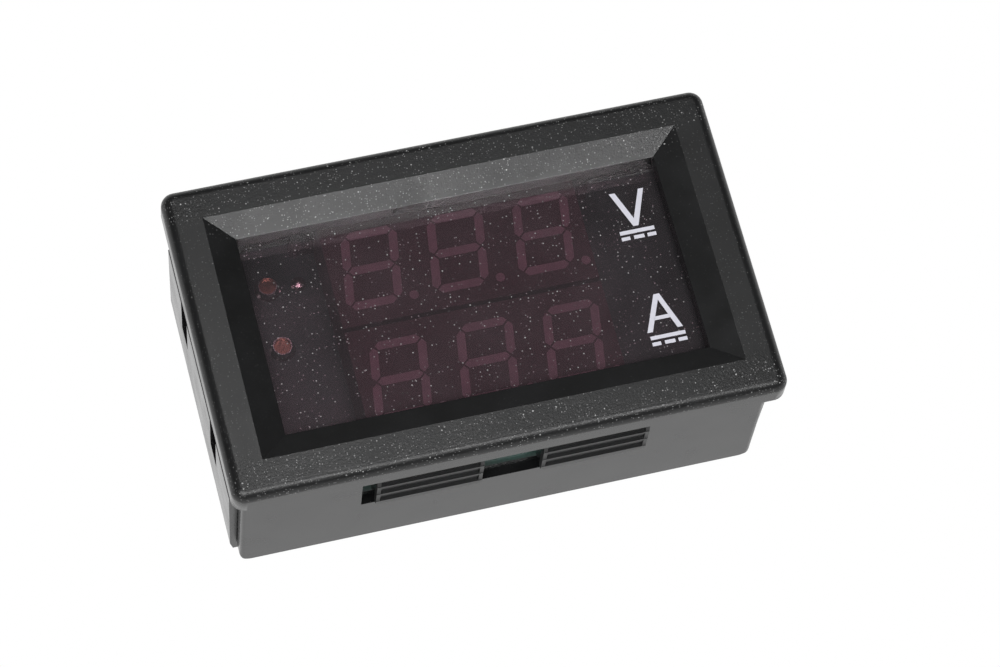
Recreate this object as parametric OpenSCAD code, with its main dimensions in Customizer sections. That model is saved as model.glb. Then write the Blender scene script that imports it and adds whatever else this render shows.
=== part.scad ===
// Digital panel meter: two rows of three red digits behind a smoked window,
// in a snap-in housing. The origin is the centre of the flange's rear face,
// +Z points out of the display, +X to the reader's right, +Y to the digits' top.

/* [Bezel] */
// Width of the flange, left to right
flange_w = 48; // [47:0.5:70]
// Height of the flange, top to bottom
flange_h = 29; // [28.5:0.5:50]
// Thickness of the flange in front of the panel
flange_t = 2.6; // [2:0.1:4]
// Radius of the flange's corners, seen from the front
flange_corner_r = 1.2; // [1.1:0.1:3]
// Radius of the soft front edge of the flange
flange_edge_r = 1.0; // [0.1:0.05:1.1]
// How far the flange reaches past the box on the left and right
flange_lap_x = 1.05; // [1:0.05:3]
// How far the flange reaches past the box at the top and bottom
flange_lap_y = 1.4; // [0.8:0.1:3]
// Width of the flat rim between the flange's edge and the bevel
rim_w = 3.15; // [2:0.05:5]
// Width of the bevel on the left and right
bevel_w = 2.45; // [1:0.05:4]
// Width of the bevel at the top and bottom
bevel_h = 2.15; // [1:0.05:4]
// Depth of the bevel
bevel_depth = 1.0; // [0.4:0.1:1.6]

/* [Box] */
// Depth of the box behind the flange
box_depth = 15; // [13.5:0.5:24]
// Thickness of the box walls
wall_t = 1.1; // [0.8:0.1:1.6]
// Thickness of the front wall behind the plane of the flange's rear face
front_wall_t = 0.7; // [0.5:0.1:1.2]
// Radius of the long walls' rear corners
wall_corner_r = 1.1; // [0.3:0.1:2]
// Radius of the box's upright corners
wall_edge_r = 0.4; // [0.1:0.05:0.6]
// Thickness of the fence that stops light behind each slot
fence_t = 0.8; // [0.5:0.1:1]
// Clearance between the fence and the displays
fence_gap = 0.15; // [0.05:0.05:0.2]
// Side of the corner posts that the board seats on
post_w = 1.7; // [1.2:0.1:2.2]

/* [Ribbed snap tongues] */
// Number of tongues on each long wall
tongue_count = 2; // [1:1:2]
// Width of one tongue
tongue_w = 9.3; // [6:0.1:12]
// Open width between neighbouring tongues
tongue_space = 5.2; // [3:0.1:8]
// Sideways place of the pair's middle
tongue_shift = 0.5; // [-1:0.1:1]
// Open width beside the left tongue
slot_left = 1.1; // [0.2:0.1:2]
// Open width beside the right tongue and behind both
slot_gap = 0.25; // [0.15:0.05:0.6]
// Length of the slot behind the front wall
slot_length = 7.05; // [6:0.05:9]
// Distance from the flange to where the ribbed face begins
rib_start = 2.1; // [2.05:0.05:2.6]
// Distance from the flange to the first whole rib
rib_first = 3.15; // [2.9:0.05:3.6]
// Distance from one rib to the next
rib_pitch = 1.55; // [1.2:0.05:1.7]
// Number of whole ribs on a tongue
rib_count = 3; // [2:1:3]
// Height of a rib's step
rib_step = 0.33; // [0.2:0.01:0.5]
// How far the ribs' edges stand proud of the wall
rib_proud = 0.62; // [0.52:0.02:1]
// Width of the plain cheek at each end of a tongue
cheek_w = 0.35; // [0.2:0.05:0.8]
// Radius of a tongue's free corners
tongue_corner_r = 0.6; // [0.3:0.1:1.2]

/* [Spring arms] */
// Thickness of the arm on each short side
arm_t = 0.9; // [0.8:0.1:1.2]
// How far the arm stands out past the ends of the long walls
arm_proud = 0.8; // [0.5:0.05:1]
// Clearance between an arm and the long walls
arm_gap = 0.2; // [0.1:0.05:0.5]
// Straight length of the arm's root behind the flange
arm_root = 2.4; // [2.1:0.1:4]
// Length of the arm's outward shoulder
arm_shoulder = 1.0; // [0.6:0.1:2]
// Length of the tapered rear end
arm_lead = 1.15; // [1:0.05:3]
// How far the arm leans in along its length
arm_lean = 0.2; // [0:0.05:0.3]
// Width of the windows in the arm
arm_window_w = 2.2; // [1.2:0.1:3]
// Distance of each window from the middle
arm_window_y = 5.6; // [3:0.1:8]
// How far a hook reaches over the board's edge
hook_lap = 0.45; // [0.2:0.05:0.8]
// Length of a hook's tapered back
hook_length = 2.1; // [1.5:0.1:4]
// Play between the board and a hook
hook_play = 0.05; // [0.02:0.01:0.2]

/* [Window] */
// Thickness of the smoked window
window_t = 0.8; // [0.5:0.1:1.4]
// How far the window reaches behind the opening's edge
window_lap = 1.1; // [0.5:0.1:1.5]
// Clearance round the window in its pocket
window_gap = 0.1; // [0.05:0.05:0.3]

/* [Displays] */
// Width of a three-digit display
display_w = 22.6; // [20:0.1:28]
// Height of a three-digit display
display_h = 10.1; // [9:0.1:11.5]
// Depth of a display from its face to the board
display_d = 6.1; // [5:0.1:7.5]
// Clearance between the window and the displays
display_gap = 0.1; // [0.05:0.05:0.3]
// Clearance between the two displays
row_gap = 0.4; // [0.2:0.1:2]
// Sideways place of the displays
display_shift = 0.15; // [-0.5:0.05:0.5]
// Thickness of a display's face
face_t = 1.0; // [0.6:0.1:1.6]
// Thickness of a display's side walls
shell_t = 0.8; // [0.5:0.1:1.2]
// Number of digits in a display
digit_count = 3; // [2:1:3]
// Distance from one digit to the next
digit_pitch = 7.6; // [7.2:0.1:8.5]
// Width of a digit between the middles of its upright segments
digit_w = 4.2; // [3.5:0.1:4.6]
// Height of a digit between the middles of its top and bottom segments
digit_h = 6.5; // [5.8:0.1:6.8]
// Width of a segment
segment_w = 0.75; // [0.5:0.05:0.9]
// Gap between neighbouring segments
segment_gap = 0.16; // [0.1:0.02:0.3]
// Lean of the digits, degrees from upright
digit_slant = 8.7; // [0:0.1:12]
// Radius of a decimal point
point_r = 0.4; // [0.3:0.05:0.5]
// Number of pins in one row of a display
pin_count = 6; // [5:1:7]
// Distance from one pin to the next
pin_pitch = 2.54; // [2:0.02:2.8]
// Distance between the two rows of pins of a display
pin_row_pitch = 7.62; // [6:0.02:8]
// Side of a display's square pins
pin_side = 0.5; // [0.4:0.05:0.6]
// Length of a pin behind the board
pin_tail = 1.3; // [0.8:0.1:2]

/* [Board] */
// Thickness of the circuit board
board_t = 1.6; // [1:0.1:2]
// Clearance between the board and the box
board_gap = 0.15; // [0.05:0.05:0.4]
// Radius of the board's corners
board_corner_r = 0.5; // [0.2:0.1:2]
// Clearance round a lead in its plated hole
hole_gap = 0.1; // [0.05:0.05:0.3]
// Width of solder round a lead
solder_w = 0.4; // [0.2:0.05:0.6]
// Height of a solder joint
solder_h = 0.8; // [0.4:0.1:1.2]

/* [Current header] */
// Distance between the two pins
current_pitch = 3.96; // [3.5:0.01:5.1]
// Side of the square pins
current_pin_side = 1.14; // [0.8:0.02:1.4]
// Length of the pins above the board
current_pin_length = 9.4; // [7:0.1:11]
// Width of the base past each pin
current_base_side = 1.95; // [1.5:0.05:3]
// Depth of the base
current_base_d = 7.4; // [6:0.1:9]
// Height of the base
current_base_h = 3.2; // [2:0.1:4]
// Height of the locking wall above the board
current_wall_h = 10.2; // [8:0.1:11]
// Thickness of the locking wall
current_wall_t = 1.2; // [0.8:0.1:1.6]

/* [Supply header] */
// Number of pins
supply_pins_n = 3; // [2:1:4]
// Distance from one pin to the next
supply_pitch = 2.5; // [2:0.01:2.6]
// Side of the square pins
supply_pin_side = 0.64; // [0.5:0.02:0.7]
// Length of the shroud past each end pin
supply_end = 2.45; // [2:0.05:3]
// Depth of the shroud
supply_d = 5.75; // [5:0.05:7]
// Height of the shroud above the board
supply_h = 7; // [5:0.1:9]
// Thickness of the shroud's walls
supply_wall = 0.7; // [0.5:0.05:1]
// Thickness of the shroud's floor
supply_floor = 1.3; // [1:0.1:2]

/* [Shunt] */
// Thickness of the shunt's wire
shunt_wire_d = 1.5; // [1:0.1:2]
// Distance between the shunt's legs
shunt_span = 5.8; // [5:0.1:8]
// Height of the loop above the board
shunt_h = 5; // [4:0.1:6]

/* [Trimmers] */
// Width of a trimmer's case
trimmer_w = 3.3; // [2.8:0.1:4]
// Length of a trimmer's case
trimmer_l = 3.7; // [3.2:0.1:4.5]
// Height of a trimmer's case
trimmer_h = 1.2; // [1:0.1:2]
// Radius of the turning disc
rotor_r = 1.2; // [1:0.05:1.3]
// Thickness of the turning disc
rotor_t = 0.5; // [0.45:0.05:0.8]
// Radius of the disc's shaft
rotor_shaft_r = 0.5; // [0.4:0.05:0.7]
// Running clearance of the disc and shaft
rotor_gap = 0.05; // [0.02:0.01:0.1]
// Distance between the two trimmers
trimmer_space = 7; // [5:0.1:9]

/* [Hidden] */
$fn = 48;

// Overlap that lets two shapes of one solid merge
bite = 0.2;

// Box
box_w = flange_w - 2 * flange_lap_x;
box_h = flange_h - 2 * flange_lap_y;
inner_w = box_w - 2 * wall_t;
inner_h = box_h - 2 * wall_t;
recess_w = flange_w - 2 * rim_w;
recess_h = flange_h - 2 * rim_w;
opening_w = recess_w - 2 * bevel_w;
opening_h = recess_h - 2 * bevel_h;

// Depths, measured along Z from the flange's rear face
window_back_z = -front_wall_t;
window_front_z = window_back_z + window_t;
display_front_z = window_back_z - display_gap;
board_front_z = display_front_z - display_d;
board_back_z = board_front_z - board_t;
rear_z = -box_depth;

// Tongues and their slot
tongue_row = tongue_count * tongue_w + (tongue_count - 1) * tongue_space;
tongue_left = tongue_shift - tongue_row / 2;
slot_x = tongue_left - slot_left;
slot_w = slot_left + tongue_row + slot_gap;
slot_front_z = -front_wall_t;
slot_back_z = slot_front_z - slot_length;
tongue_back_z = slot_back_z + slot_gap;
fence_y = (2 * display_h + row_gap) / 2 + fence_gap;
wall_face = box_h / 2;
rib_back_z = -rib_first - (rib_count - 1) * rib_pitch;

// Board and the rows of display pins
board_w = inner_w - 2 * board_gap;
board_h = inner_h - 2 * board_gap;
row_y = (display_h + row_gap) / 2;
pin_row_w = (pin_count - 1) * pin_pitch;
pin_edge_x = pin_row_w / 2 + pin_side / 2 + solder_w;
left_x = -board_w / 2;
right_x = board_w / 2;
low_y = -board_h / 2;
high_y = board_h / 2;

// Places of the parts on the board's rear
edge_gap = 0.6;
current_w = current_pitch + 2 * current_base_side;
current_at = [left_x + edge_gap + current_w / 2, low_y + edge_gap + current_base_d / 2];
supply_w = (supply_pins_n - 1) * supply_pitch + 2 * supply_end;
supply_at = [right_x - edge_gap - supply_w / 2, low_y + edge_gap + supply_d / 2];
shunt_at = [left_x + 5.85, high_y - 6.9];
trimmer_at = [display_shift, -row_y];
controller_at = [right_x - 10.1, supply_at.y + supply_d / 2 + 8.6];
regulator_at = [right_x - 3.4, high_y - 3.2];
diode_at = [right_x - 4.0, supply_at.y + supply_d / 2 + 2.6];
amplifier_at = [shunt_at.x + 5.0, high_y - 6.6];
tantalum_at = [display_shift + 4.9, row_y];
dot_joint_at = [shunt_at.x + 2.75, shunt_at.y + shunt_span / 2];

// A rectangle centred on the origin with rounded corners
module soft_rect(w, h, r) {
  square([w - 2 * r, h], center = true);
  square([w, h - 2 * r], center = true);
  for (x = [-1, 1], y = [-1, 1]) translate([x * (w / 2 - r), y * (h / 2 - r)]) circle(r);
}

// Side outline of a slab of width w and thickness t with two soft upper corners
module soft_profile(w, t, edge) {
  translate([-w / 2, 0]) square([w, t - edge]);
  translate([-w / 2 + edge, 0]) square([w - 2 * edge, t]);
  for (side = [-1, 1]) translate([side * (w / 2 - edge), t - edge]) circle(edge);
}

// A slab from z = 0 up to t, with round corners and a soft upper edge
module soft_slab(w, h, t, corner, edge) {
  rotate([90, 0, 90]) linear_extrude(w - 2 * corner, center = true) soft_profile(h, t, edge);
  rotate([90, 0, 0]) linear_extrude(h - 2 * corner, center = true) soft_profile(w, t, edge);
  for (i = [0 : 3]) let (sx = i == 0 || i == 3 ? 1 : -1, sy = i < 2 ? 1 : -1)
    translate([sx * (w / 2 - corner), sy * (h / 2 - corner), 0]) rotate([0, 0, i * 90])
      rotate_extrude(angle = 90) intersection() {
        square([corner, t]);
        soft_profile(2 * corner, t, edge);
      }
}

// A rectangular funnel from w by h at z = 0 to a smaller size at z = -depth
module funnel(w, h, inset_x, inset_y, depth) {
  intersection() {
    rotate([90, 0, 0]) linear_extrude(h, center = true)
      polygon([[-w / 2, 0], [w / 2, 0], [w / 2 - inset_x, -depth], [-w / 2 + inset_x, -depth]]);
    rotate([90, 0, 90]) linear_extrude(w, center = true)
      polygon([[-h / 2, 0], [h / 2, 0], [h / 2 - inset_y, -depth], [-h / 2 + inset_y, -depth]]);
  }
}

// Side outline of a tongue: x is the distance from the meter's middle, y is the depth
// Each rib steps out by rib_step and slopes back in over one pitch; slope(d) is its face d behind the step
rib_edge = wall_face + rib_proud;
function slope(d) = rib_edge - rib_step * d / rib_pitch;
function rib_outline() = concat(
  [[wall_face - wall_t, bite], [wall_face, bite]],
  [[wall_face, -rib_start], [slope(rib_pitch - rib_first + rib_start), -rib_start]],
  [for (i = [0 : rib_count - 1]) let (z = -rib_first - i * rib_pitch) each [[slope(rib_pitch), z], [rib_edge, z]]],
  [[slope(rib_back_z - tongue_back_z), tongue_back_z], [wall_face - wall_t, tongue_back_z]]);
function cheek_outline() = [[wall_face - wall_t, bite], [wall_face, bite], [wall_face, -rib_start],
  [slope(rib_pitch / 3) - 0.04, -rib_start - 0.3], [rib_edge - 0.04, -rib_first - 0.1], [rib_edge - 0.04, rib_back_z - 0.1],
  [slope(rib_back_z - tongue_back_z), tongue_back_z], [wall_face - wall_t, tongue_back_z]];

module ribbed_tongue() {
  intersection() {
    union() {
      rotate([90, 0, 90]) linear_extrude(tongue_w) polygon(rib_outline());
      for (x = [0, tongue_w - cheek_w]) translate([x, 0, 0])
        rotate([90, 0, 90]) linear_extrude(cheek_w) polygon(cheek_outline());
    }
    translate([tongue_w / 2, 0, tongue_back_z / 2 + slot_front_z / 2]) rotate([-90, 0, 0])
      linear_extrude(flange_h) union() {
        soft_rect(tongue_w, slot_front_z - tongue_back_z, tongue_corner_r);
        translate([-tongue_w / 2, -(slot_front_z - tongue_back_z) / 2 - bite])
          square([tongue_w, (slot_front_z - tongue_back_z) / 2]);
      }
  }
}

// One long wall on the +Y side, with its slot, ribbed tongues and the fence behind them
module long_wall() {
  difference() {
    intersection() {
      translate([0, inner_h / 2 + wall_t, 0]) rotate([90, 0, 0]) linear_extrude(wall_t)
        union() {
          translate([0, rear_z / 2]) soft_rect(box_w, box_depth, wall_corner_r);
          translate([-box_w / 2, -box_depth / 2]) square([box_w, box_depth / 2 + bite]);
        }
      translate([0, 0, rear_z - 1]) linear_extrude(box_depth + 2) soft_rect(box_w, box_h, wall_edge_r);
    }
    translate([slot_x, inner_h / 2 - 1, slot_back_z]) cube([slot_w, wall_t + 2, slot_length]);
  }
  translate([slot_x - fence_t, fence_y, board_front_z])
    cube([slot_w + 2 * fence_t, fence_t, bite - board_front_z]);
  for (i = [0 : tongue_count - 1]) translate([tongue_left + i * (tongue_w + tongue_space), 0, 0])
    ribbed_tongue();
}

// Spring arm of the +X side, an outline in X and Z run along Y, with two windows and hooks
arm_in = box_w / 2 - arm_t;
arm_out = box_w / 2 + arm_proud;
arm_span = inner_h - 2 * arm_gap;
module spring_arm() {
  difference() {
    rotate([90, 0, 0]) linear_extrude(arm_span, center = true) polygon([
      [arm_in, bite], [arm_in + arm_t, bite], [arm_in + arm_t, -arm_root],
      [arm_out, -arm_root - arm_shoulder], [arm_out - arm_lean, rear_z + arm_lead],
      [arm_out - arm_lean - arm_t * 0.3, rear_z], [arm_out - arm_lean - arm_t, rear_z],
      [arm_out - arm_t, -arm_root - arm_shoulder - 0.4], [arm_in, -arm_root - 0.4]]);
    for (side = [-1, 1]) translate([arm_in - 1, side * arm_window_y - arm_window_w / 2, board_back_z])
      cube([arm_t + arm_proud + 2, arm_window_w, -front_wall_t - 0.3 - board_back_z]);
  }
  for (side = [-1, 1]) translate([0, side * arm_window_y, 0]) rotate([90, 0, 0])
    linear_extrude(arm_window_w, center = true) polygon([
      [right_x - hook_lap, board_back_z - hook_play], [arm_out - arm_lean, board_back_z - hook_play],
      [arm_out - arm_lean, board_back_z - hook_length - 0.4],
      [arm_out - arm_lean - arm_t, board_back_z - hook_length]]);
}

module housing() {
  color([0.07, 0.07, 0.075]) difference() {
    union() {
      soft_slab(flange_w, flange_h, flange_t, flange_corner_r, flange_edge_r);
      translate([-arm_in, -inner_h / 2 - bite, -front_wall_t])
        cube([2 * arm_in, inner_h + 2 * bite, front_wall_t + bite]);
      for (side = [0, 1]) mirror([0, side, 0]) long_wall();
      for (side = [0, 1]) mirror([side, 0, 0]) spring_arm();
      for (x = [-1, 1], y = [-1, 1])
        translate([x * (arm_in - arm_gap - post_w / 2), y * (inner_h / 2 - post_w / 2 + bite / 2), board_front_z])
          translate([-post_w / 2, -post_w / 2 - bite / 2, 0]) cube([post_w, post_w + bite, bite - board_front_z]);
    }
    translate([0, 0, flange_t]) funnel(recess_w, recess_h, bevel_w, bevel_h, bevel_depth);
    translate([-opening_w / 2, -opening_h / 2, window_front_z - bite])
      cube([opening_w, opening_h, flange_t - window_front_z - bevel_depth / 2]);
    translate([-opening_w / 2 - window_lap - window_gap, -opening_h / 2 - window_lap - window_gap, window_back_z - 1])
      cube([opening_w + 2 * (window_lap + window_gap), opening_h + 2 * (window_lap + window_gap), window_t + 1]);
  }
}

module window() {
  color([0.2, 0.13, 0.15]) translate([0, 0, window_back_z]) linear_extrude(window_t)
    soft_rect(opening_w + 2 * window_lap, opening_h + 2 * window_lap, 0.4);
}

// Seven-segment digit, leaning by digit_slant
function lean(p) = [p.x + p.y * tan(digit_slant), p.y];
function bar(length) = let (half = length / 2 - segment_gap * 0.7, w = segment_w / 2)
  [[-half, 0], [-half + w, w], [half - w, w], [half, 0], [half - w, -w], [-half + w, -w]];
module digit() {
  for (y = [-1, 0, 1]) polygon([for (p = bar(digit_w)) lean([p.x, p.y + y * digit_h / 2])]);
  for (x = [-1, 1], y = [-1, 1])
    polygon([for (p = bar(digit_h / 2)) lean([p.y + x * digit_w / 2, p.x + y * digit_h / 4])]);
  translate([digit_w / 2 + segment_w + point_r * 0.3, -digit_h / 2]) circle(point_r);
}
module digits() {
  for (i = [0 : digit_count - 1]) translate([(i - (digit_count - 1) / 2) * digit_pitch, 0]) digit();
}

module display_shell(y) {
  color([0.16, 0.05, 0.06]) translate([display_shift, y, board_front_z]) difference() {
    translate([-display_w / 2, -display_h / 2, 0]) cube([display_w, display_h, display_d]);
    translate([-display_w / 2 + shell_t, -display_h / 2 + shell_t, -1])
      cube([display_w - 2 * shell_t, display_h - 2 * shell_t, display_d - face_t + 1]);
    linear_extrude(display_d + 1) digits();
  }
}

// The resin that fills the shell and rises through the face as the segments
module display_segments(y) {
  color([0.75, 0.35, 0.42]) translate([display_shift, y, board_front_z]) {
    translate([-display_w / 2 + shell_t, -display_h / 2 + shell_t, 0])
      cube([display_w - 2 * shell_t, display_h - 2 * shell_t, display_d - face_t]);
    translate([0, 0, display_d - face_t - bite]) linear_extrude(face_t + bite) digits();
  }
}

// Places of a display's pins
function pin_places(y) = [for (i = [0 : pin_count - 1], side = [-1, 1])
  [display_shift + (i - (pin_count - 1) / 2) * pin_pitch, y + side * pin_row_pitch / 2]];
module display_pins(y) {
  color([0.78, 0.78, 0.76]) for (p = pin_places(y))
    translate([p.x - pin_side / 2, p.y - pin_side / 2, board_back_z - pin_tail])
      cube([pin_side, pin_side, board_t + pin_tail]);
}

// Leads that pass through the board: [place, half diagonal of the lead]
function current_places() = [for (side = [-1, 1]) current_at + [side * current_pitch / 2, 0]];
function supply_places() = [for (i = [0 : supply_pins_n - 1])
  supply_at + [(i - (supply_pins_n - 1) / 2) * supply_pitch, 0]];
function shunt_places() = [for (side = [-1, 1]) shunt_at + [0, side * shunt_span / 2]];
front_leads = concat(
  [for (p = current_places()) [p, current_pin_side * sqrt(2) / 2]],
  [for (p = supply_places()) [p, supply_pin_side * sqrt(2) / 2]],
  [for (p = shunt_places()) [p, shunt_wire_d / 2]]);
rear_leads = [for (p = concat(pin_places(row_y), pin_places(-row_y))) [p, pin_side * sqrt(2) / 2]];

module circuit_board() {
  color([0.1, 0.32, 0.24]) translate([0, 0, board_back_z]) difference() {
    linear_extrude(board_t) soft_rect(board_w, board_h, board_corner_r);
    for (lead = concat(front_leads, rear_leads)) translate([lead[0].x, lead[0].y, -1])
      cylinder(r = lead[1] + hole_gap, h = board_t + 2);
  }
}

// Current header: base block, locking wall with its catch, and two heavy pins
module current_header() {
  color([0.9, 0.88, 0.82]) translate([current_at.x, current_at.y, board_back_z]) difference() {
    union() {
      translate([-current_w / 2, -current_base_d / 2, -current_base_h])
        cube([current_w, current_base_d, current_base_h]);
      rotate([90, 0, 90]) linear_extrude(current_w - 1, center = true) polygon([
        [-current_base_d / 2, -1], [-current_base_d / 2 + current_wall_t, -1],
        [-current_base_d / 2 + current_wall_t, -current_wall_h + 2.2],
        [-current_base_d / 2 + current_wall_t + 0.5, -current_wall_h + 1.6],
        [-current_base_d / 2 + current_wall_t, -current_wall_h],
        [-current_base_d / 2 + 0.3, -current_wall_h], [-current_base_d / 2, -current_wall_h + 1]]);
    }
    for (side = [-1, 1]) translate([side * current_pitch / 2, 0, -current_base_h - 1])
      linear_extrude(current_base_h + 2) square(current_pin_side, center = true);
    for (side = [-1, 1]) translate([side * (current_w / 2 - 0.6), current_base_d / 2 - 0.5, -current_base_h / 2])
      cube([1.2, 1.4, current_base_h + 1], center = true);
  }
}

module current_pins() {
  color([0.82, 0.8, 0.74]) for (p = current_places())
    square_pin(p, current_pin_side, board_back_z - current_pin_length, board_front_z + solder_h * 0.6);
}

// A square pin with a tapered rear tip, from z0 up to z1
module square_pin(place, side, z0, z1) {
  translate([place.x, place.y, z1]) intersection() {
    for (turn = [0, 90]) rotate([0, 0, turn]) rotate([90, 0, 0])
      linear_extrude(side, center = true) polygon([
        [-side / 2, 0], [side / 2, 0], [side / 2, z0 - z1 + side], [side / 5, z0 - z1],
        [-side / 5, z0 - z1], [-side / 2, z0 - z1 + side]]);
    translate([-side / 2, -side / 2, z0 - z1]) cube([side, side, z1 - z0]);
  }
}

module supply_header() {
  slot = 1.4;
  color([0.9, 0.88, 0.82]) translate([supply_at.x, supply_at.y, board_back_z]) difference() {
    translate([-supply_w / 2, -supply_d / 2, -supply_h]) cube([supply_w, supply_d, supply_h]);
    translate([-supply_w / 2 + supply_wall, -supply_d / 2 + supply_wall, -supply_h - 1])
      cube([supply_w - 2 * supply_wall, supply_d - 2 * supply_wall, supply_h - supply_floor + 1]);
    for (x = [-1, 1]) translate([x * supply_pitch * 0.75 - slot / 2, supply_d / 2 - supply_wall - 1, -supply_h - 1])
      cube([slot, supply_wall + 2, supply_h - supply_floor + 1]);
    for (i = [0 : supply_pins_n - 1])
      translate([(i - (supply_pins_n - 1) / 2) * supply_pitch, 0, -supply_floor - 1])
        linear_extrude(supply_floor + 2) square(supply_pin_side, center = true);
  }
}

module supply_pins() {
  color([0.82, 0.8, 0.74]) for (p = supply_places())
    square_pin(p, supply_pin_side, board_back_z - supply_h + 0.6, board_front_z + solder_h);
}

// The shunt: one thick wire bent to a U that stands on the board's rear
module shunt() {
  bend = shunt_wire_d * 1.1;
  color([0.62, 0.42, 0.3]) translate([shunt_at.x, shunt_at.y, board_back_z]) {
    for (side = [-1, 1]) {
      translate([0, side * shunt_span / 2, -shunt_h + bend + shunt_wire_d / 2])
        cylinder(d = shunt_wire_d, h = shunt_h - bend - shunt_wire_d / 2 + board_t + solder_h * 0.6);
      translate([0, side * (shunt_span / 2 - bend), -shunt_h + bend + shunt_wire_d / 2])
        rotate([0, 90, 0]) rotate([0, 0, side > 0 ? 0 : -90])
          rotate_extrude(angle = 90) translate([bend, 0]) circle(d = shunt_wire_d);
    }
    translate([0, 0, -shunt_h + shunt_wire_d / 2]) rotate([90, 0, 0])
      cylinder(d = shunt_wire_d, h = shunt_span - 2 * bend, center = true);
  }
}

// Trimmer case with a well for its turning disc
module trimmer(x) {
  color([0.86, 0.85, 0.8]) translate([trimmer_at.x + x, trimmer_at.y, board_back_z]) difference() {
    union() {
      translate([-trimmer_w / 2, -trimmer_l / 2, -trimmer_h]) cube([trimmer_w, trimmer_l, trimmer_h]);
      for (x = [-1, 1]) translate([x * trimmer_w * 0.3 - 0.35, -trimmer_l / 2 - 0.3, -trimmer_h * 0.6])
        cube([0.7, 0.5, trimmer_h * 0.6]);
      translate([-0.6, trimmer_l / 2 - 0.2, -trimmer_h * 0.6]) cube([1.2, 0.5, trimmer_h * 0.6]);
    }
    translate([0, 0, -trimmer_h - 1]) cylinder(r = rotor_r + rotor_gap, h = rotor_t * 0.6 + 1);
    translate([0, 0, -trimmer_h - 1]) cylinder(r = rotor_shaft_r + rotor_gap, h = trimmer_h + 0.8);
  }
}

// Turning disc with a crossed screwdriver slot and a shaft
module trimmer_screw(x) {
  top = -trimmer_h - rotor_t * 0.4 + rotor_gap;
  color([0.8, 0.68, 0.4]) translate([trimmer_at.x + x, trimmer_at.y, board_back_z]) difference() {
    union() {
      translate([0, 0, top]) cylinder(r = rotor_r, h = rotor_t - 2 * rotor_gap);
      translate([0, 0, top]) cylinder(r = rotor_shaft_r, h = trimmer_h - 0.1);
    }
    for (turn = [0, 90]) rotate([0, 0, turn]) translate([-rotor_r * 0.8, -0.15, top - 0.2])
      cube([rotor_r * 1.6, 0.3, 0.4]);
  }
}

// A chip's case: chamfered block standing on the board's rear, centred on its place
module chip_case(at, w, l, h, lift) {
  c = 0.15;
  translate([at.x, at.y, board_back_z - lift]) intersection() {
    rotate([90, 0, 0]) linear_extrude(l, center = true) polygon([
      [-w / 2 + c, 0], [w / 2 - c, 0], [w / 2, -h / 2], [w / 2 - c, -h], [-w / 2 + c, -h], [-w / 2, -h / 2]]);
    rotate([90, 0, 90]) linear_extrude(w, center = true) polygon([
      [-l / 2 + c, 0], [l / 2 - c, 0], [l / 2, -h / 2], [l / 2 - c, -h], [-l / 2 + c, -h], [-l / 2, -h / 2]]);
  }
}

// One row of gull-wing leads each side of a chip, count leads to a side along Y
module gull_leads(at, w, span, h, count, pitch, lead_w, lift) {
  t = 0.18;
  foot = (span - w) / 2;
  for (side = [0, 1], i = [0 : count - 1])
    translate([at.x, at.y + (i - (count - 1) / 2) * pitch, board_back_z]) mirror([side, 0, 0])
      rotate([90, 0, 0]) linear_extrude(lead_w, center = true) polygon([
        [w / 2 - 0.1, -lift - h / 2 - t / 2], [w / 2 + foot * 0.4, -lift - h / 2 - t / 2],
        [w / 2 + foot * 0.65, -t], [span / 2, -t], [span / 2, 0], [w / 2 + foot * 0.4, 0],
        [w / 2 + foot * 0.25, -lift - h / 2 + t / 2], [w / 2 - 0.1, -lift - h / 2 + t / 2]]);
}

// Sizes of the chips: case width, case length, case height, span, leads a side, pitch, lead width
controller_size = [4.4, 6.5, 0.9, 6.4, 10, 0.65, 0.25];
amplifier_size = [3.9, 4.9, 1.4, 6, 4, 1.27, 0.42];
chip_lift = 0.1;
module chip(at, s) {
  difference() {
    chip_case(at, s[0], s[1], s[2], chip_lift);
    gull_leads(at, s[0], s[3], s[2], s[4], s[5], s[6], chip_lift);
    translate([at.x - s[0] / 2 + 0.7, at.y + s[1] / 2 - 0.8, board_back_z - chip_lift - s[2] - 1])
      cylinder(r = 0.3, h = 1.06);
  }
}
module chip_leads(at, s) {
  gull_leads(at, s[0], s[3], s[2], s[4], s[5], s[6], chip_lift);
}
module controller_chip() {
  color([0.1, 0.1, 0.11]) chip(controller_at, controller_size);
}
module controller_leads() {
  color([0.75, 0.76, 0.77]) chip_leads(controller_at, controller_size);
}
module amplifier_chip() {
  color([0.1, 0.1, 0.11]) chip(amplifier_at, amplifier_size);
}
module amplifier_leads() {
  color([0.75, 0.76, 0.77]) chip_leads(amplifier_at, amplifier_size);
}

// Voltage regulator with three leads and a wide tab
regulator_w = 2.5;
regulator_l = 4.5;
regulator_h = 1.5;
module regulator() {
  color([0.1, 0.1, 0.11]) difference() {
    chip_case(regulator_at, regulator_w, regulator_l, regulator_h, 0);
    regulator_metal();
  }
}
module regulator_metal() {
  t = 0.4;
  translate([regulator_at.x, regulator_at.y, board_back_z - t]) {
    for (i = [-1, 0, 1]) translate([-regulator_w / 2 - 0.9, i * 1.5 - 0.22, 0]) cube([1.3, 0.44, t]);
    translate([regulator_w / 2 - 0.6, -0.85, 0]) cube([1.3, 1.7, t]);
  }
}
module regulator_leads() {
  color([0.75, 0.76, 0.77]) regulator_metal();
}

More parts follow.
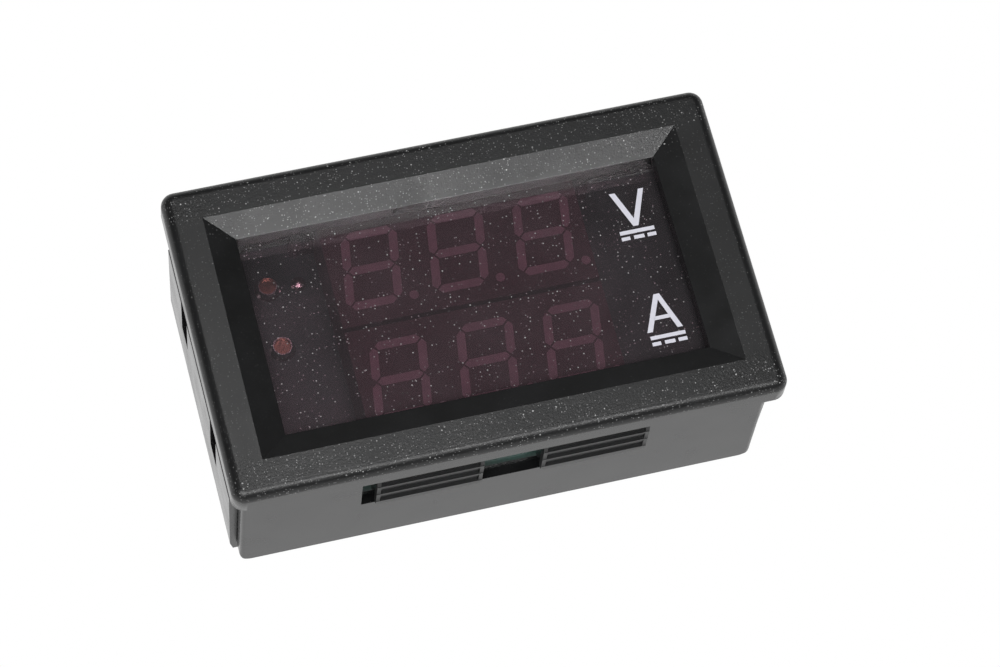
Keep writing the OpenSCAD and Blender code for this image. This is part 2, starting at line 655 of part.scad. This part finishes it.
// Two-ended moulded part with wrapped end leads, such as a diode or a tantalum capacitor
module end_leads(at, w, l, h, lead_w) {
  t = 0.2;
  for (side = [0, 1]) translate([at.x, at.y, board_back_z]) mirror([side, 0, 0])
    rotate([90, 0, 0]) linear_extrude(lead_w, center = true) polygon([
      [w / 2 - 0.1, -h / 2 - t / 2], [w / 2 + t, -h / 2 - t / 2], [w / 2 + t, 0], [w / 2 - 0.9, 0],
      [w / 2 - 0.9, -t], [w / 2, -t], [w / 2, -h / 2 + t / 2], [w / 2 - 0.1, -h / 2 + t / 2]]);
}
diode_size = [4.3, 2.6, 2.1, 1.5];
tantalum_size = [3.5, 2.8, 1.9, 2.2];
module end_lead_part(at, s) {
  difference() {
    chip_case(at, s[0], s[1], s[2], 0.05);
    end_leads(at, s[0], s[1], s[2], s[3]);
  }
}
module diode() {
  color([0.1, 0.1, 0.11]) end_lead_part(diode_at, diode_size);
}
module diode_leads() {
  color([0.75, 0.76, 0.77]) end_leads(diode_at, diode_size[0], diode_size[1], diode_size[2], diode_size[3]);
}
module tantalum_capacitor() {
  color([0.85, 0.6, 0.15]) end_lead_part(tantalum_at, tantalum_size);
}
module capacitor_leads() {
  color([0.75, 0.76, 0.77])
    end_leads(tantalum_at, tantalum_size[0], tantalum_size[1], tantalum_size[2], tantalum_size[3]);
}

// Small chips: [x, y] places, length along X between the two metal ends
resistor_size = [1.6, 0.8, 0.45];
small_capacitor_size = [1.6, 0.8, 0.8];
end_w = 0.3;
resistor_places = concat(
  [for (i = [0 : 3]) [display_shift - 5.2, row_y - 1.95 + i * 1.3]],
  [for (i = [0 : 3]) [display_shift - 2.9, row_y - 1.95 + i * 1.3]],
  [for (i = [-1, 1]) [trimmer_at.x + i * (trimmer_space / 2 + trimmer_w / 2 + 1.3), trimmer_at.y]]);
small_capacitor_places = concat(
  [for (i = [0 : 2]) [display_shift - 0.4, row_y - 1.6 + i * 1.6]],
  [[trimmer_at.x, trimmer_at.y - 1.2], [trimmer_at.x, trimmer_at.y + 1.2]]);
module chip_bodies(places, s) {
  for (p = places) translate([p.x - s[0] / 2 + end_w, p.y - s[1] / 2, board_back_z - s[2]])
    cube([s[0] - 2 * end_w, s[1], s[2]]);
}
module chip_ends(places, s) {
  for (p = places, side = [-1, 1])
    translate([p.x + side * (s[0] - end_w) / 2 - end_w / 2, p.y - s[1] / 2, board_back_z - s[2]])
      cube([end_w, s[1], s[2]]);
}
module chip_resistors() {
  color([0.12, 0.12, 0.13]) chip_bodies(resistor_places, resistor_size);
}
module resistor_ends() {
  color([0.8, 0.8, 0.8]) chip_ends(resistor_places, resistor_size);
}
module chip_capacitors() {
  color([0.7, 0.58, 0.42]) chip_bodies(small_capacitor_places, small_capacitor_size);
}
module capacitor_ends() {
  color([0.8, 0.8, 0.8]) chip_ends(small_capacitor_places, small_capacitor_size);
}

// A solder cone round a lead of radius r, standing up from z = 0
module solder_cone(r) {
  rotate_extrude() polygon([[r, 0], [r + solder_w, 0], [r + solder_w * 0.45, solder_h * 0.35],
    [r + 0.08, solder_h], [r, solder_h]]);
}
module solder_joints() {
  color([0.72, 0.7, 0.68]) {
    for (lead = front_leads) translate([lead[0].x, lead[0].y, board_front_z]) solder_cone(lead[1]);
    for (lead = rear_leads) translate([lead[0].x, lead[0].y, board_back_z])
      rotate([180, 0, 0]) solder_cone(lead[1]);
    translate([dot_joint_at.x, dot_joint_at.y, board_front_z]) rotate_extrude()
      polygon([[0, 0], [0.7, 0], [0.5, 0.3], [0.2, 0.45], [0, 0.5]]);
  }
}

housing();
window();
display_shell(row_y);  // upper_display_shell
display_segments(row_y);  // upper_display_segments
display_pins(row_y);  // upper_display_pins
display_shell(-row_y);  // lower_display_shell
display_segments(-row_y);  // lower_display_segments
display_pins(-row_y);  // lower_display_pins
circuit_board();
current_header();
current_pins();
supply_header();
supply_pins();
shunt();
trimmer(-trimmer_space / 2);  // voltage_trimmer
trimmer_screw(-trimmer_space / 2);  // voltage_trimmer_screw
trimmer(trimmer_space / 2);  // current_trimmer
trimmer_screw(trimmer_space / 2);  // current_trimmer_screw
controller_chip();
controller_leads();
amplifier_chip();
amplifier_leads();
regulator();
regulator_leads();
diode();
diode_leads();
tantalum_capacitor();
capacitor_leads();
chip_resistors();
resistor_ends();
chip_capacitors();
capacitor_ends();
solder_joints();
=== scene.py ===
import bmesh
import bpy
import numpy as np
from mathutils import Matrix, Vector


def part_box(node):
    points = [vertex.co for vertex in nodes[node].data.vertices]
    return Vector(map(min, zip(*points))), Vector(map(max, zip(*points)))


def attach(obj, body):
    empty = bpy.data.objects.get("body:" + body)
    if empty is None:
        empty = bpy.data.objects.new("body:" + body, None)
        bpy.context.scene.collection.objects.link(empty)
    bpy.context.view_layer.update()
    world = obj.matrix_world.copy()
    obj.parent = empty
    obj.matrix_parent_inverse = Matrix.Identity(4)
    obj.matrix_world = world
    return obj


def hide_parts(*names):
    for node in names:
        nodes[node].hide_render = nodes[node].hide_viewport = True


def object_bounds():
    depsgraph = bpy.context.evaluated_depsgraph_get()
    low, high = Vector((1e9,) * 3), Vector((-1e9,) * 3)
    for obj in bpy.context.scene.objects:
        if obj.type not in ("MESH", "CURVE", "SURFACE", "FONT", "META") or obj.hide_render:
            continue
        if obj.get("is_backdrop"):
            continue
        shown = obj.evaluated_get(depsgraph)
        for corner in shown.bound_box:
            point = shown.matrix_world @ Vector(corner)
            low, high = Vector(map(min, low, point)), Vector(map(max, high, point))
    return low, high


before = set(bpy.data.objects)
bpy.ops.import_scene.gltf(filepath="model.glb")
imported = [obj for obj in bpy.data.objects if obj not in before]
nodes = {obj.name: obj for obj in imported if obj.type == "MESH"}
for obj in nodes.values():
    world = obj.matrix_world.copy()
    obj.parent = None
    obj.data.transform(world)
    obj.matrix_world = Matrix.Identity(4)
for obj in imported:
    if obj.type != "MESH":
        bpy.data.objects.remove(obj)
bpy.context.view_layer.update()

mm = 0.001
mainBody = "meter"
print("frame loaded:", len(nodes), "nodes")


camera = dict(place=(-54.39, -133.93, 310.24), lens=144.866, sensor=36, near=0.01, far=20,
              tiltX=-22.81, tiltY=9.45, tiltZ=11.56)


def makeCamera(spec):
    # the view turns the object by tiltX, then tiltY, then tiltZ, so the camera holds the inverse turn
    turn = (Matrix.Rotation(np.radians(spec["tiltZ"]), 3, "Z")
            @ Matrix.Rotation(np.radians(spec["tiltY"]), 3, "Y")
            @ Matrix.Rotation(np.radians(spec["tiltX"]), 3, "X"))
    data = bpy.data.cameras.new("camera")
    data.lens = spec["lens"]
    data.sensor_width = spec["sensor"]
    data.clip_start = spec["near"]
    data.clip_end = spec["far"]
    eye = bpy.data.objects.new("camera", data)
    eye.matrix_world = Matrix.Translation(Vector(spec["place"]) * mm) @ turn.transposed().to_4x4()
    bpy.context.collection.objects.link(eye)
    bpy.context.scene.camera = eye


makeCamera(camera)
print("camera set")


def startMaterial(name):
    made = bpy.data.materials.new(name)
    made.use_nodes = True
    tree = made.node_tree
    tree.nodes.clear()
    return made, tree


def put(tree, kind, values=None, **settings):
    # adds a node, sets its attributes, then its sockets: a value is a constant, a socket is a link
    made = tree.nodes.new(kind)
    for key, value in settings.items():
        setattr(made, key, value)
    for key, value in (values or {}).items():
        if isinstance(value, bpy.types.NodeSocket):
            tree.links.new(value, made.inputs[key])
        else:
            made.inputs[key].default_value = value
    return made


def grey(value):
    return (value, value, value, 1)


def places(tree):
    return put(tree, "ShaderNodeTexCoord").outputs["Object"]


def noise(tree, where, size, detail=2.0, rough=0.5):
    # size is the width in metres of one patch of the noise
    return put(tree, "ShaderNodeTexNoise", {"Vector": where, "Scale": 1 / size, "Detail": detail,
                                            "Roughness": rough}).outputs["Fac"]


def spread(tree, value, low, high, out0, out1):
    # maps low..high of value to out0..out1 and stops at both ends
    return put(tree, "ShaderNodeMapRange", {"Value": value, "From Min": low, "From Max": high,
                                            "To Min": out0, "To Max": out1}).outputs["Result"]


def calc(tree, operation, a, b=0.0):
    return put(tree, "ShaderNodeMath", {0: a, 1: b}, operation=operation).outputs[0]


def mixRgb(tree, amount, a, b):
    made = tree.nodes.new("ShaderNodeMixRGB")
    for key, value in (("Fac", amount), ("Color1", a), ("Color2", b)):
        if isinstance(value, bpy.types.NodeSocket):
            tree.links.new(value, made.inputs[key])
        else:
            made.inputs[key].default_value = value
    return made.outputs["Color"]


def mixNumber(tree, amount, a, b):
    # a where amount is 0, b where it is 1
    return put(tree, "ShaderNodeMapRange", {"Value": amount, "To Min": a, "To Max": b}).outputs["Result"]


def paintedGlintSpecks(tree, where, spacing, radius, share):
    # painted glints: bright specks in the colour stand for light caught by grain facets; a speck sits where a
    # random point lies within radius, and only a share of points count
    cell = put(tree, "ShaderNodeTexVoronoi", {"Vector": where, "Scale": 1 / spacing})
    near = spread(tree, cell.outputs["Distance"], radius / spacing * 0.6, radius / spacing, 1, 0)
    pick = put(tree, "ShaderNodeSeparateColor", {"Color": cell.outputs["Color"]})
    chosen = calc(tree, "LESS_THAN", pick.outputs["Red"], share)
    return calc(tree, "MULTIPLY", calc(tree, "MULTIPLY", near, chosen), pick.outputs["Green"])


def bump(tree, height, depth, strength=1.0):
    # depth in metres is how far a height of 1 stands out
    values = {"Height": height, "Distance": depth, "Strength": strength}
    return put(tree, "ShaderNodeBump", values).outputs["Normal"]


def closeMaterial(tree, surface):
    put(tree, "ShaderNodeOutputMaterial", {"Surface": surface})


def principled(tree, values):
    return put(tree, "ShaderNodeBsdfPrincipled", values).outputs["BSDF"]


housingLook = dict(colour=0.0075, grainSize=0.17, grainDepth=0.016,
                   rimRough=0.36, wallRough=0.24, ribRough=0.5,
                   glintSpeckSpacing=0.2, glintSpeckRadius=0.062, glintSpeckShare=0.55, glintSpeckColour=0.34,
                   glintSpacing=0.5, glintRadius=0.075, glintShare=0.5, glintColour=0.7,
                   bevelX=20.85, bevelY=11.35, bevelFloor=1.62, wallY=13.12, ribsFrom=-2,
                   barFrom=10.6, barTo=11.9, slopeFrom=8.6, slopeTo=9.4,
                   blotchSize=3.5, fineSize=0.5, patchSize=2.2)


def housingPlastic(look):
    made, tree = startMaterial("blackMouldedPlastic")
    where = places(tree)
    axis = put(tree, "ShaderNodeSeparateXYZ", {"Vector": where})
    x, y, z = axis.outputs["X"], axis.outputs["Y"], axis.outputs["Z"]
    offX, offY = calc(tree, "ABSOLUTE", x), calc(tree, "ABSOLUTE", y)
    # the spark texture's grain bump and its painted glints cover the front face: strong on the long bars and
    # on the upper slope, where the light catches the grain, faint elsewhere
    front = calc(tree, "GREATER_THAN", z, look["bevelFloor"] * mm)
    inside = calc(tree, "MULTIPLY", calc(tree, "LESS_THAN", offX, look["bevelX"] * mm),
                  calc(tree, "LESS_THAN", offY, look["bevelY"] * mm))
    longBars = spread(tree, offY, look["barFrom"] * mm, look["barTo"] * mm, 0.22, 1)
    leaning = calc(tree, "SUBTRACT", y, calc(tree, "MULTIPLY", offX, 0.02))
    upperSlope = spread(tree, leaning, look["slopeFrom"] * mm, look["slopeTo"] * mm, 0.05, 1)
    grainAndPaintedGlints = calc(tree, "MULTIPLY", front, mixNumber(tree, inside, longBars, upperSlope))
    grain = noise(tree, where, look["grainSize"] * mm, 2, 0.6)
    blotch = noise(tree, where, look["blotchSize"] * mm, 3, 0.55)
    fine = noise(tree, where, look["fineSize"] * mm, 2, 0.5)
    share = calc(tree, "ADD", calc(tree, "MULTIPLY", grainAndPaintedGlints, 0.9), calc(tree, "MULTIPLY", front, 0.15))
    height = calc(tree, "ADD", calc(tree, "MULTIPLY", grain, share), calc(tree, "MULTIPLY", fine, 0.05))
    dark = tuple(look["colour"] * c for c in (0.8, 0.82, 0.84)) + (1,)
    light = tuple(look["colour"] * c for c in (1.2, 1.24, 1.32)) + (1,)
    base = mixRgb(tree, spread(tree, blotch, 0.3, 0.7, 0, 1), dark, light)
    # painted glints: two sets of light specks, mixed below into the base colour where the grain-and-glint
    # mask is strong, stand for lamp light caught by the grain
    dense = paintedGlintSpecks(tree, where, look["glintSpeckSpacing"] * mm, look["glintSpeckRadius"] * mm, look["glintSpeckShare"])
    rare = paintedGlintSpecks(tree, where, look["glintSpacing"] * mm, look["glintRadius"] * mm, look["glintShare"])
    patchy = spread(tree, noise(tree, where, look["patchSize"] * mm, 2, 0.5), 0.35, 0.65, 0.45, 1)
    colour = base
    for paintedGlintSpeck, tone in ((dense, look["glintSpeckColour"]), (rare, look["glintColour"])):
        amount = calc(tree, "MULTIPLY", calc(tree, "MULTIPLY", paintedGlintSpeck, grainAndPaintedGlints), patchy)
        colour = mixRgb(tree, amount, colour, grey(tone))
    # ribs are matt, walls are smooth
    ribbed = calc(tree, "GREATER_THAN", offY, look["wallY"] * mm)
    ribbed = calc(tree, "MULTIPLY", ribbed, calc(tree, "LESS_THAN", z, look["ribsFrom"] * mm))
    smooth = spread(tree, ribbed, 0, 1, look["wallRough"], look["ribRough"])
    uneven = spread(tree, blotch, 0.3, 0.7, -0.03, 0.04)
    rough = calc(tree, "ADD", uneven, mixNumber(tree, front, smooth, look["rimRough"]))
    closeMaterial(tree, principled(tree, {"Base Color": colour, "Roughness": rough, "IOR": 1.5,
                                          "Normal": bump(tree, height, look["grainDepth"] * mm)}))
    return made


windowLook = dict(tint=(0.72, 0.62, 0.66, 1), haze=(0.30, 0.27, 0.29, 1), hazeShare=0.055, hazePatch=7,
                  glintSpeckSpacing=0.36, glintSpeckRadius=0.075, glintSpeckShare=0.6, glintSpeckColour=0.5,
                  rippleSize=2.5, rippleDepth=0.004, shineRough=0.06)


def smokedAcrylic(look):
    # a tinted see-through body with a milky haze and painted glints as bright specks, under a clear glossy
    # face
    made, tree = startMaterial("smokedAcrylic")
    where = places(tree)
    paintedGlintSpeck = paintedGlintSpecks(tree, where, look["glintSpeckSpacing"] * mm, look["glintSpeckRadius"] * mm, look["glintSpeckShare"])
    cloud = noise(tree, where, look["hazePatch"] * mm, 3, 0.6)
    haze = calc(tree, "MULTIPLY", spread(tree, cloud, 0.3, 0.7, 0.7, 1.3), look["hazeShare"])
    through = put(tree, "ShaderNodeBsdfTransparent", {"Color": look["tint"]}).outputs[0]
    # the haze is lit by the lamps; its bright specks are painted glints
    hazeAndPaintedGlints = put(tree, "ShaderNodeBsdfDiffuse", {
        "Color": mixRgb(tree, paintedGlintSpeck, look["haze"], grey(look["glintSpeckColour"]))}).outputs[0]
    body = put(tree, "ShaderNodeMixShader", {
        0: calc(tree, "MAXIMUM", haze, paintedGlintSpeck), 1: through, 2: hazeAndPaintedGlints}).outputs[0]
    ripple = bump(tree, noise(tree, where, look["rippleSize"] * mm, 2, 0.5), look["rippleDepth"] * mm)
    shine = {"Color": grey(1), "Roughness": look["shineRough"], "Normal": ripple}
    gloss = put(tree, "ShaderNodeBsdfGlossy", shine).outputs[0]
    edge = put(tree, "ShaderNodeFresnel", {"IOR": 1.49}).outputs[0]
    closeMaterial(tree, put(tree, "ShaderNodeMixShader", {0: edge, 1: body, 2: gloss}).outputs[0])
    return made


def mottled(name, colour, rough, patch=0.8, vary=0.15, depth=0.006, metal=0.0, fineSize=0.09):
    # a solid finish: colour and roughness vary by patch, and a fine bump breaks the highlight
    made, tree = startMaterial(name)
    where = places(tree)
    cloud = noise(tree, where, patch * mm, 4, 0.6)
    fine = noise(tree, where, fineSize * mm, 3, 0.6)
    dark = tuple(c * (1 - vary) for c in colour) + (1,)
    light = tuple(min(1, c * (1 + vary)) for c in colour) + (1,)
    tone = mixRgb(tree, spread(tree, cloud, 0.3, 0.7, 0, 1), dark, light)
    wear = calc(tree, "ADD", calc(tree, "MULTIPLY", cloud, 0.6), calc(tree, "MULTIPLY", fine, 0.4))
    closeMaterial(tree, principled(tree, {
        "Base Color": tone, "Metallic": metal,
        "Roughness": spread(tree, wear, 0.35, 0.65, rough * 0.85, min(1, rough * 1.15)),
        "Normal": bump(tree, fine, depth * mm)}))
    return made


boardLook = dict(mask=(0.03, 0.085, 0.07), patch=2.5, weave=0.45, weaveDepth=0.003, rough=0.3,
                 coat=0.4, coatRough=0.15)


def solderMask(look):
    # green lacquer over a glass weave: two crossed sine waves stand for the warp and weft
    made, tree = startMaterial("greenSolderMask")
    where = places(tree)
    cloud = noise(tree, where, look["patch"] * mm, 3, 0.6)
    axis = put(tree, "ShaderNodeSeparateXYZ", {"Vector": where})
    turns = 2 * np.pi / (look["weave"] * mm)
    warp = calc(tree, "SINE", calc(tree, "MULTIPLY", axis.outputs["X"], turns))
    weft = calc(tree, "SINE", calc(tree, "MULTIPLY", axis.outputs["Y"], turns))
    weave = calc(tree, "MULTIPLY", warp, weft)
    dark = tuple(c * 0.75 for c in look["mask"]) + (1,)
    light = tuple(c * 1.3 for c in look["mask"]) + (1,)
    tone = mixRgb(tree, calc(tree, "ADD", spread(tree, cloud, 0.3, 0.7, 0.1, 0.7),
                             calc(tree, "MULTIPLY", weave, 0.12)), dark, light)
    closeMaterial(tree, principled(tree, {
        "Base Color": tone, "Roughness": spread(tree, cloud, 0.3, 0.7, look["rough"], look["rough"] + 0.12),
        "Coat Weight": look["coat"], "Coat Roughness": look["coatRough"],
        "Normal": bump(tree, weave, look["weaveDepth"] * mm)}))
    return made


finishes = {
    "housing": housingPlastic(housingLook),
    "window": smokedAcrylic(windowLook),
    "shell": mottled("maroonDisplayShell", (0.058, 0.026, 0.034), 0.45, 2.0, 0.2),
    "segments": mottled("castResinSegments", (0.27, 0.175, 0.21), 0.4, 1.2, 0.14),
    "tin": mottled("tinnedMetal", (0.62, 0.62, 0.6), 0.3, 0.5, 0.12, metal=1.0),
    "board": solderMask(boardLook),
    "nylon": mottled("offWhiteNylon", (0.74, 0.7, 0.6), 0.45, 1.6, 0.06, 0.004, fineSize=0.15),
    "headerPins": mottled("tinnedBrassPins", (0.72, 0.68, 0.58), 0.25, 0.6, 0.1, metal=1.0),
    "shunt": mottled("resistanceWire", (0.5, 0.29, 0.2), 0.38, 0.5, 0.2, metal=1.0),
    "ceramic": mottled("paleCeramic", (0.72, 0.7, 0.62), 0.5, 0.5, 0.08),
    "disc": mottled("platedBrass", (0.72, 0.55, 0.26), 0.3, 0.3, 0.12, metal=1.0),
    "epoxy": mottled("blackEpoxy", (0.02, 0.02, 0.022), 0.55, 0.8, 0.2, 0.012, fineSize=0.06),
    "tantalum": mottled("yellowMouldedResin", (0.66, 0.4, 0.06), 0.4, 0.8, 0.08),
    "glaze": mottled("blackGlaze", (0.015, 0.015, 0.018), 0.2, 0.3, 0.2, 0.003),
    "capacitor": mottled("tanCeramic", (0.36, 0.26, 0.17), 0.45, 0.3, 0.12),
    "solder": mottled("solder", (0.66, 0.64, 0.62), 0.28, 0.4, 0.1, metal=1.0),
    "ink": mottled("whiteInk", (0.72, 0.72, 0.8), 0.5, 0.4, 0.05),
}

nodeFinish = {
    "housing": "housing", "window": "window", "circuit_board": "board",
    "upper_display_shell": "shell", "lower_display_shell": "shell",
    "upper_display_segments": "segments", "lower_display_segments": "segments",
    "upper_display_pins": "tin", "lower_display_pins": "tin",
    "current_header": "nylon", "supply_header": "nylon",
    "current_pins": "headerPins", "supply_pins": "headerPins", "shunt": "shunt",
    "voltage_trimmer": "ceramic", "current_trimmer": "ceramic",
    "voltage_trimmer_screw": "disc", "current_trimmer_screw": "disc",
    "controller_chip": "epoxy", "amplifier_chip": "epoxy", "regulator": "epoxy", "diode": "epoxy",
    "controller_leads": "tin", "amplifier_leads": "tin", "regulator_leads": "tin", "diode_leads": "tin",
    "tantalum_capacitor": "tantalum", "capacitor_leads": "tin",
    "chip_resistors": "glaze", "resistor_ends": "tin",
    "chip_capacitors": "capacitor", "capacitor_ends": "tin", "solder_joints": "solder",
}
for name, finish in nodeFinish.items():
    for place in nodes[name].material_slots:
        place.material = finishes[finish]
print("finishes set")


# widths in mm of the small rounds on the edges of moulded and stamped parts
softEdges = dict(sharpAngle=21.5, mergeGap=0.002, flatAngle=0.5, steps=2, widths={
    "housing": 0.07, "current_header": 0.12, "supply_header": 0.12, "current_pins": 0.08, "supply_pins": 0.06,
    "controller_chip": 0.05, "amplifier_chip": 0.05, "regulator": 0.06, "diode": 0.06,
    "tantalum_capacitor": 0.08,
    "voltage_trimmer": 0.1, "current_trimmer": 0.1, "chip_resistors": 0.05, "resistor_ends": 0.06,
    "chip_capacitors": 0.07, "capacitor_ends": 0.08, "upper_display_pins": 0.08, "lower_display_pins": 0.08})


def softCopy(name, width, look):
    # the node's loose triangles are merged and its flat areas joined, then every edge sharper than sharpAngle
    # gets a round of that width, and large faces keep their own normals
    node = nodes[name]
    work = bmesh.new()
    work.from_mesh(node.data)
    bmesh.ops.remove_doubles(work, verts=work.verts[:], dist=look["mergeGap"] * mm)
    bmesh.ops.dissolve_limit(work, angle_limit=np.radians(look["flatAngle"]), verts=work.verts[:],
                             edges=work.edges[:])
    mesh = bpy.data.meshes.new(name + "_soft")
    work.to_mesh(mesh)
    work.free()
    mesh.polygons.foreach_set("use_smooth", np.ones(len(mesh.polygons), bool))
    mesh.materials.append(finishes[nodeFinish[name]])
    piece = bpy.data.objects.new(name + "_soft", mesh)
    bpy.context.collection.objects.link(piece)
    edge = piece.modifiers.new("edges", "BEVEL")
    edge.width = width * mm
    edge.segments = look["steps"]
    edge.limit_method = "ANGLE"
    edge.angle_limit = np.radians(look["sharpAngle"])
    piece.modifiers.new("flatFaces", "WEIGHTED_NORMAL").keep_sharp = True
    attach(piece, mainBody)
    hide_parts(name)
    return piece


for name, width in softEdges["widths"].items():
    softCopy(name, width, softEdges)
print("edges softened:", len(softEdges["widths"]), "parts")


def makePiece(name, points, faces, finish, smooth=False):
    mesh = bpy.data.meshes.new(name)
    mesh.from_pydata(np.asarray(points).tolist(), [], faces)
    mesh.update()
    if smooth:
        mesh.polygons.foreach_set("use_smooth", np.ones(len(mesh.polygons), bool))
    mesh.materials.append(finishes[finish])
    piece = bpy.data.objects.new(name, mesh)
    bpy.context.collection.objects.link(piece)
    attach(piece, mainBody)
    return piece


def prisms(outlines, low, high):
    # each flat outline is lifted from height low to height high: two caps and a wall of quads
    points, faces = [], []
    for outline in outlines:
        flat = np.asarray(outline, float)
        count, start = len(flat), len(points)
        for z in (low, high):
            points.extend(np.column_stack([flat, np.full(count, z)]) * mm)
        ring = np.arange(count)
        after = np.roll(ring, -1)
        faces.append((ring[::-1] + start).tolist())
        faces.append((ring + start + count).tolist())
        faces += (np.column_stack([ring, after, after + count, ring + count]) + start).tolist()
    return points, faces


# printed unit signs on the window's front, each over a bar and three dashes
signLook = dict(ink=0.02, join=0.02,
                voltTop=7.2, voltFoot=3.83, voltArms=(14.05, 14.56, 16.66, 17.13), voltFootX=(15.36, 15.82),
                ampTop=-2.8, ampFoot=-6.2, ampArms=(13.89, 14.37, 16.56, 17.04), ampTopX=(15.33, 15.83),
                crossBar=(-5.17, -4.83), voltBar=(3.17, 3.52), voltDash=(2.61, 2.94),
                ampBar=(-6.92, -6.58), ampDash=(-7.5, -7.17),
                barX=(14.02, 17.1), dashX=((14.04, 14.8), (15.14, 16.06), (16.34, 17.12)))


def box2(x, y):
    return [(x[0], y[0]), (x[1], y[0]), (x[1], y[1]), (x[0], y[1])]


def legs(top, foot, arms, flat):
    # two leaning strokes from the ends in arms at height top to the flat at height foot, met in the middle
    middle = (flat[0] + flat[1]) / 2
    lean = (middle - arms[1]) / (flat[0] - arms[0])
    inner = top + (foot - top) * lean
    left = [(arms[0], top), (flat[0], foot), (middle, foot), (middle, inner), (arms[1], top)]
    right = [(arms[3], top), (arms[2], top), (middle, inner), (middle, foot), (flat[1], foot)]
    return [left, right]


def turned(outline):
    # puts an outline's corners anticlockwise, by the sign of its area
    flat = np.asarray(outline, float)
    area = np.sum(flat[:, 0] * np.roll(flat[:, 1], -1) - np.roll(flat[:, 0], -1) * flat[:, 1])
    return flat if area > 0 else flat[::-1]


def makeSigns(look):
    # V, and A with its cross bar between the inner sides of the strokes, each over one bar and the dashes
    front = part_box("window")[1][2] / mm
    volt = legs(look["voltTop"], look["voltFoot"], look["voltArms"], look["voltFootX"])
    amp = legs(look["ampFoot"], look["ampTop"], look["ampArms"], look["ampTopX"])
    arms, top = look["ampArms"], look["ampTopX"]
    cross = []
    for y in look["crossBar"]:
        share = (y - look["ampFoot"]) / (look["ampTop"] - look["ampFoot"])
        cross.append((arms[1] + (top[0] - arms[0]) * share - look["join"],
                      arms[2] + (top[1] - arms[3]) * share + look["join"]))
    amp.append([(cross[0][0], look["crossBar"][0]), (cross[0][1], look["crossBar"][0]),
                (cross[1][1], look["crossBar"][1]), (cross[1][0], look["crossBar"][1])])
    for name, strokes, bar, dash in (("voltSign", volt, "voltBar", "voltDash"),
                                     ("ampSign", amp, "ampBar", "ampDash")):
        outlines = strokes + [box2(look["barX"], look[bar])] + [box2(x, look[dash]) for x in look["dashX"]]
        points, faces = prisms([turned(o) for o in outlines], front, front + look["ink"])
        makePiece(name, points, faces, "ink")


makeSigns(signLook)
print("signs printed")


lightLook = dict(floorWhite=0.86, floorHalf=6.0, skyDark=0.1, skyFrom=0.04, skyTo=0.16)
lamps = {
    # the place, the diameter and the power of each soft round lamp, in mm and watts
    "keyLamp": dict(place=(70, -200, 400), size=90, power=0.5),
    "cameraSideLamp": dict(place=(-175, -225, 410), size=300, power=1.5),
    "topLamp": dict(place=(22, 90, 440), size=120, power=0.35),
}


def makeFloor(look):
    # a level square at the object's lowest point: pale, and white for camera, mirror and see-through rays
    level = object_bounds()[0][2]
    half = look["floorHalf"]
    points = [(-half, -half, level), (half, -half, level), (half, half, level), (-half, half, level)]
    mesh = bpy.data.meshes.new("floor")
    mesh.from_pydata(points, [], [(0, 1, 2, 3)])
    floor = bpy.data.objects.new("floor", mesh)
    bpy.context.collection.objects.link(floor)
    floor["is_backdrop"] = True
    made, tree = startMaterial("paleFloor")
    ray = put(tree, "ShaderNodeLightPath")
    seen = calc(tree, "MAXIMUM", ray.outputs["Is Camera Ray"],
                calc(tree, "MAXIMUM", ray.outputs["Is Glossy Ray"], ray.outputs["Is Transmission Ray"]))
    plain = put(tree, "ShaderNodeBsdfDiffuse", {"Color": grey(look["floorWhite"])}).outputs[0]
    glow = put(tree, "ShaderNodeEmission", {"Color": grey(1), "Strength": 1.0}).outputs[0]
    closeMaterial(tree, put(tree, "ShaderNodeMixShader", {0: seen, 1: plain, 2: glow}).outputs[0])
    mesh.materials.append(made)


def makeLamp(name, place, size, power):
    data = bpy.data.lights.new(name, "AREA")
    data.shape = "DISK"
    data.size = size * mm
    data.energy = power
    lamp = bpy.data.objects.new(name, data)
    lamp.location = Vector(place) * mm
    lamp.rotation_euler = (-lamp.location).to_track_quat("-Z", "Y").to_euler()
    bpy.context.collection.objects.link(lamp)


def makeWorld(look):
    # white for the camera; for other rays white at the horizon and dark overhead
    world = bpy.data.worlds.new("studio")
    bpy.context.scene.world = world
    world.use_nodes = True
    tree = world.node_tree
    tree.nodes.clear()
    ray = put(tree, "ShaderNodeLightPath")
    up = put(tree, "ShaderNodeSeparateXYZ", {"Vector": put(tree, "ShaderNodeTexCoord").outputs["Generated"]})
    sky = spread(tree, up.outputs["Z"], look["skyFrom"], look["skyTo"], 1, look["skyDark"])
    level = mixNumber(tree, ray.outputs["Is Camera Ray"], sky, 1)
    back = put(tree, "ShaderNodeBackground", {"Color": grey(1), "Strength": level})
    put(tree, "ShaderNodeOutputWorld", {"Surface": back.outputs[0]})


makeFloor(lightLook)
makeWorld(lightLook)
for name, spec in lamps.items():
    makeLamp(name, **spec)
bpy.context.scene.view_settings.view_transform = "Standard"
print("stage lit")
